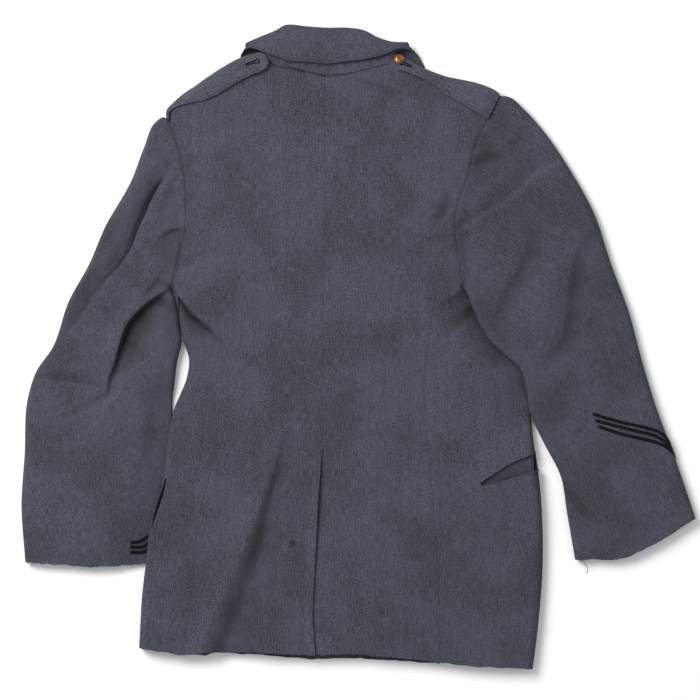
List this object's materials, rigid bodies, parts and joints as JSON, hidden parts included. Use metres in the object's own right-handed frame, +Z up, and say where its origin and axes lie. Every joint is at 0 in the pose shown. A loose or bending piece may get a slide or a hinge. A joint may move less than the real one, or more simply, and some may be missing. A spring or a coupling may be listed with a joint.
{
  "type": "cadet dress coat",
  "caption": "Thigh-length grey-blue wool cadet dress coat with shoulder straps, braided cuffs and a turned-down collar, laid out flat with its back up.",
  "frame": {"origin": "centre of the coat's outline on the surface that it lies on", "axes": "+Z up out of the coat's back, +Y towards the collar, +X towards the sleeve that lies over its side body (the wearer's right arm)"},
  "size_m": [0.8759, 0.8365, 0.0293],
  "materials": {
    "wool": "heathered twill",
    "strap": "heathered twill",
    "facing": "plain twill",
    "braid": "flat soutache braid",
    "brass": "aged"
  },
  "bodies": {
    "root": {"back_left": "wool", "back_right": "wool", "front_left": "wool", "front_right": "wool", "side_left": "wool", "side_right": "wool", "sleeve_left_top": "wool", "sleeve_left_under": "wool", "sleeve_right_top": "wool", "sleeve_right_under": "wool", "collar_stand": "wool", "collar_fall": "wool", "shoulder_strap_left": "strap", "shoulder_strap_right": "strap", "pocket_left_facing": "facing", "pocket_right_facing": "facing", "braid_left_1": "braid", "braid_left_2": "braid", "braid_left_3": "braid", "braid_right_1": "braid", "braid_right_2": "braid", "braid_right_3": "braid", "button": "brass"}
  },
  "joints": []
}
